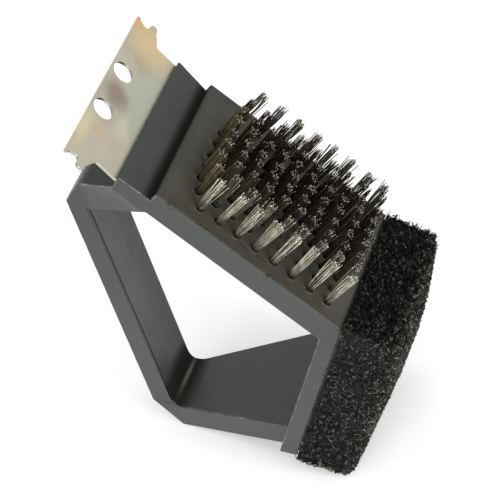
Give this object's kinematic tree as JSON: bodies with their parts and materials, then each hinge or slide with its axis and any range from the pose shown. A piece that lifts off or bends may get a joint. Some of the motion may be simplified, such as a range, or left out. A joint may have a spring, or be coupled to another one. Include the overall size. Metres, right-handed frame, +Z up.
{
  "type": "grill cleaning brush",
  "caption": "Loop-handled grill cleaning brush with wire bristle tufts on top, a flat notched steel scraper at the front and a thick scouring pad on its end plate.",
  "frame": {"origin": "on the ground, midway between the ends and sides of the standing brush's bounding box", "axes": "+Z up; +Y across the brush, which is its mirror axis; +X from the grip towards the scouring pad"},
  "size_m": [0.127, 0.0896, 0.1515],
  "materials": {
    "body_plastic": "satin moulded",
    "blade_steel": "heat-tinted, softly brushed",
    "adhesive": "matt",
    "pad_fibre": "coarse non-woven fibre",
    "bristle_wire": "bright drawn wire",
    "anchor_steel": "plain"
  },
  "bodies": {
    "root": {"body": "body_plastic", "scraper_blade": "blade_steel", "pad_adhesive": "adhesive", "scouring_pad": "pad_fibre", "tuft_row_1": "bristle_wire", "tuft_row_2": "bristle_wire", "tuft_row_3": "bristle_wire", "tuft_row_4": "bristle_wire", "tuft_row_5": "bristle_wire", "tuft_row_6": "bristle_wire", "tuft_row_7": "bristle_wire", "tuft_row_8": "bristle_wire", "tuft_row_9": "bristle_wire", "anchor_row_1": "anchor_steel", "anchor_row_2": "anchor_steel", "anchor_row_3": "anchor_steel", "anchor_row_4": "anchor_steel", "anchor_row_5": "anchor_steel", "anchor_row_6": "anchor_steel", "anchor_row_7": "anchor_steel", "anchor_row_8": "anchor_steel", "anchor_row_9": "anchor_steel"}
  },
  "joints": []
}
